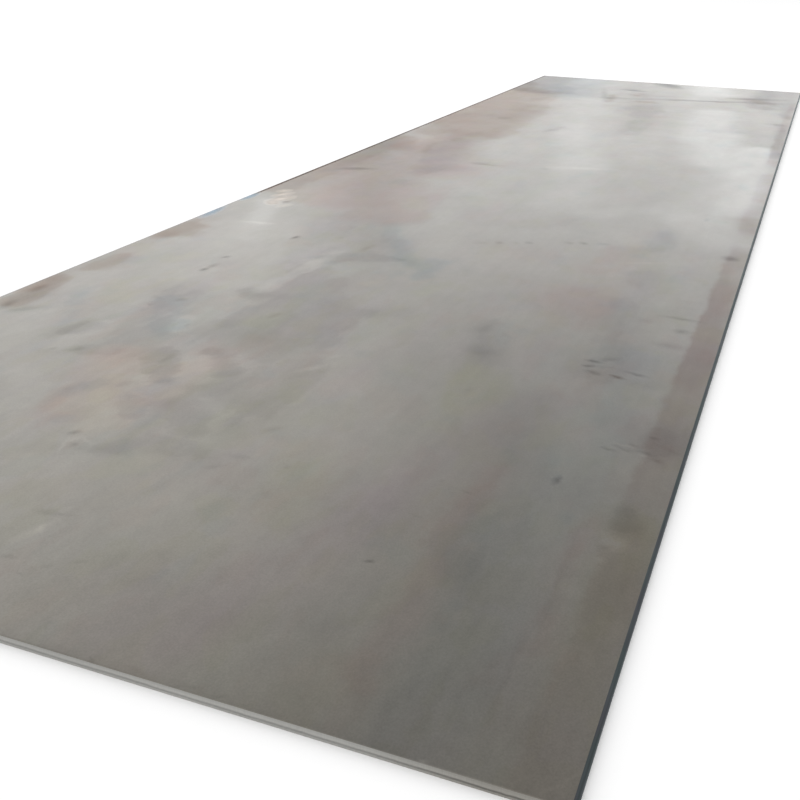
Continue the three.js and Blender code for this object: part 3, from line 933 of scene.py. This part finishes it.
edge_finish.use_nodes = True
edge_tree = edge_finish.node_tree
edge_shader = edge_tree.nodes["Principled BSDF"]
edge_place = edge_tree.nodes.new("ShaderNodeTexCoord").outputs["Object"]
rolled_lines = lumps(edge_tree, edge_place, (0.0022, 0.35, 0.0016), 3.0, 9)
edge_tone = swing(edge_tree, rolled_lines, 0.34)
edge_tone = calc(edge_tree, "MULTIPLY", edge_tone,
                 swing(edge_tree, lumps(edge_tree, edge_place, (0.1, 0.045, 0.006), 3.0, 10), 0.22))
lengths = ramp(edge_tree, lumps(edge_tree, edge_place, (0.02, 0.13, 0.01), 2.0, 11), 0.4, 0.6)
edge_colour = tinted(edge_tree, (0.051, 0.062, 0.064, 1), lengths, (1.12, 0.95, 1.03, 1))
edge_gain = edge_tree.nodes.new("ShaderNodeVectorMath")
edge_gain.operation = "SCALE"
edge_tree.links.new(edge_colour, edge_gain.inputs[0])
edge_tree.links.new(edge_tone, edge_gain.inputs["Scale"])
edge_tree.links.new(edge_gain.outputs[0], edge_shader.inputs["Base Color"])
edge_roughness = calc(edge_tree, "MULTIPLY_ADD", rolled_lines, -0.16, 0.53)
edge_tree.links.new(edge_roughness, edge_shader.inputs["Roughness"])
edge_shader.inputs["Metallic"].default_value = 1.0
edge_shader.inputs["Specular Tint"].default_value = (0.72, 0.77, 0.775, 1)
edge_relief = edge_tree.nodes.new("ShaderNodeBump")
edge_relief.inputs["Strength"].default_value = 0.25
edge_relief.inputs["Distance"].default_value = 0.0002
edge_tree.links.new(rolled_lines, edge_relief.inputs["Height"])
edge_tree.links.new(edge_relief.outputs[0], edge_shader.inputs["Normal"])

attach(plate, "root")
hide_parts("steel_plate")

# ---------------------------------------------------------------------------------------------
# Floor, light and camera.

floor_mesh = bpy.data.meshes.new("floor")
floor_reach = 60.0
floor_mesh.from_pydata([(-floor_reach, -floor_reach, 0), (floor_reach, -floor_reach, 0),
                        (floor_reach, floor_reach, 0), (-floor_reach, floor_reach, 0)], [], [(0, 1, 2, 3)])
floor = bpy.data.objects.new("floor", floor_mesh)
bpy.context.scene.collection.objects.link(floor)
floor_paint = bpy.data.materials.new("pale_floor")
floor_paint.use_nodes = True
floor_tree = floor_paint.node_tree
shader = floor_tree.nodes["Principled BSDF"]
shader.inputs["Base Color"].default_value = (0.86, 0.86, 0.86, 1)
shader.inputs["Roughness"].default_value = 0.9
shader.inputs["Specular IOR Level"].default_value = 0.0
# The floor glows a little to the camera and to gloss, so that it is white there but keeps the shadow
seen = floor_tree.nodes.new("ShaderNodeLightPath").outputs
seen_by = calc(floor_tree, "MAXIMUM", seen["Is Camera Ray"], seen["Is Glossy Ray"])
seen_by = calc(floor_tree, "MAXIMUM", seen_by, seen["Is Transmission Ray"])
shader.inputs["Emission Color"].default_value = (1, 1, 1, 1)
glow = calc(floor_tree, "MULTIPLY", seen_by, 0.12)
connect(floor_tree, glow, shader.inputs["Emission Strength"])
floor_mesh.materials.append(floor_paint)

world = bpy.data.worlds.new("studio")
bpy.context.scene.world = world
world.use_nodes = True
sky = world.node_tree.nodes["Background"]
sky.inputs["Color"].default_value = (1, 1, 1, 1)
sky.inputs["Strength"].default_value = 1.0


def panel(name, azimuth, elevation, distance, width, height, watts):
    """A soft rectangular light, turned to the middle of the plate. Azimuth runs from +Y towards -X."""
    data = bpy.data.lights.new(name, "AREA")
    data.shape = "RECTANGLE"
    data.size = width
    data.size_y = height
    data.energy = watts
    lamp = bpy.data.objects.new(name, data)
    bpy.context.scene.collection.objects.link(lamp)
    turn, lift = math.radians(azimuth), math.radians(elevation)
    flat = math.cos(lift)
    place = Vector((-math.sin(turn) * flat, math.cos(turn) * flat, math.sin(lift))) * distance
    lamp.location = place
    lamp.rotation_euler = (-place).to_track_quat("-Z", "Y").to_euler()
    lamp.visible_camera = False


panel("side_softbox", azimuth=55, elevation=26, distance=11.0, width=11.6, height=6.0, watts=279)
panel("far_softbox", azimuth=2, elevation=11, distance=12.0, width=9.0, height=3.4, watts=122)

camera_data = bpy.data.cameras.new("camera")
camera = bpy.data.objects.new("camera", camera_data)
bpy.context.scene.collection.objects.link(camera)
camera_data.lens = 48.12
camera_data.sensor_width = 36.0
camera_data.shift_x = 0.042
camera_data.clip_start = 0.05
camera_data.clip_end = 200
camera.matrix_world = (Matrix.Translation((0.8448, -3.7857, 0.7487))
                       @ Matrix.Rotation(math.radians(21.88), 4, "Z")
                       @ Matrix.Rotation(math.radians(66.807), 4, "X")
                       @ Matrix.Rotation(math.radians(1.42), 4, "Z"))
bpy.context.scene.camera = camera
bpy.context.scene.view_settings.view_transform = "Standard"
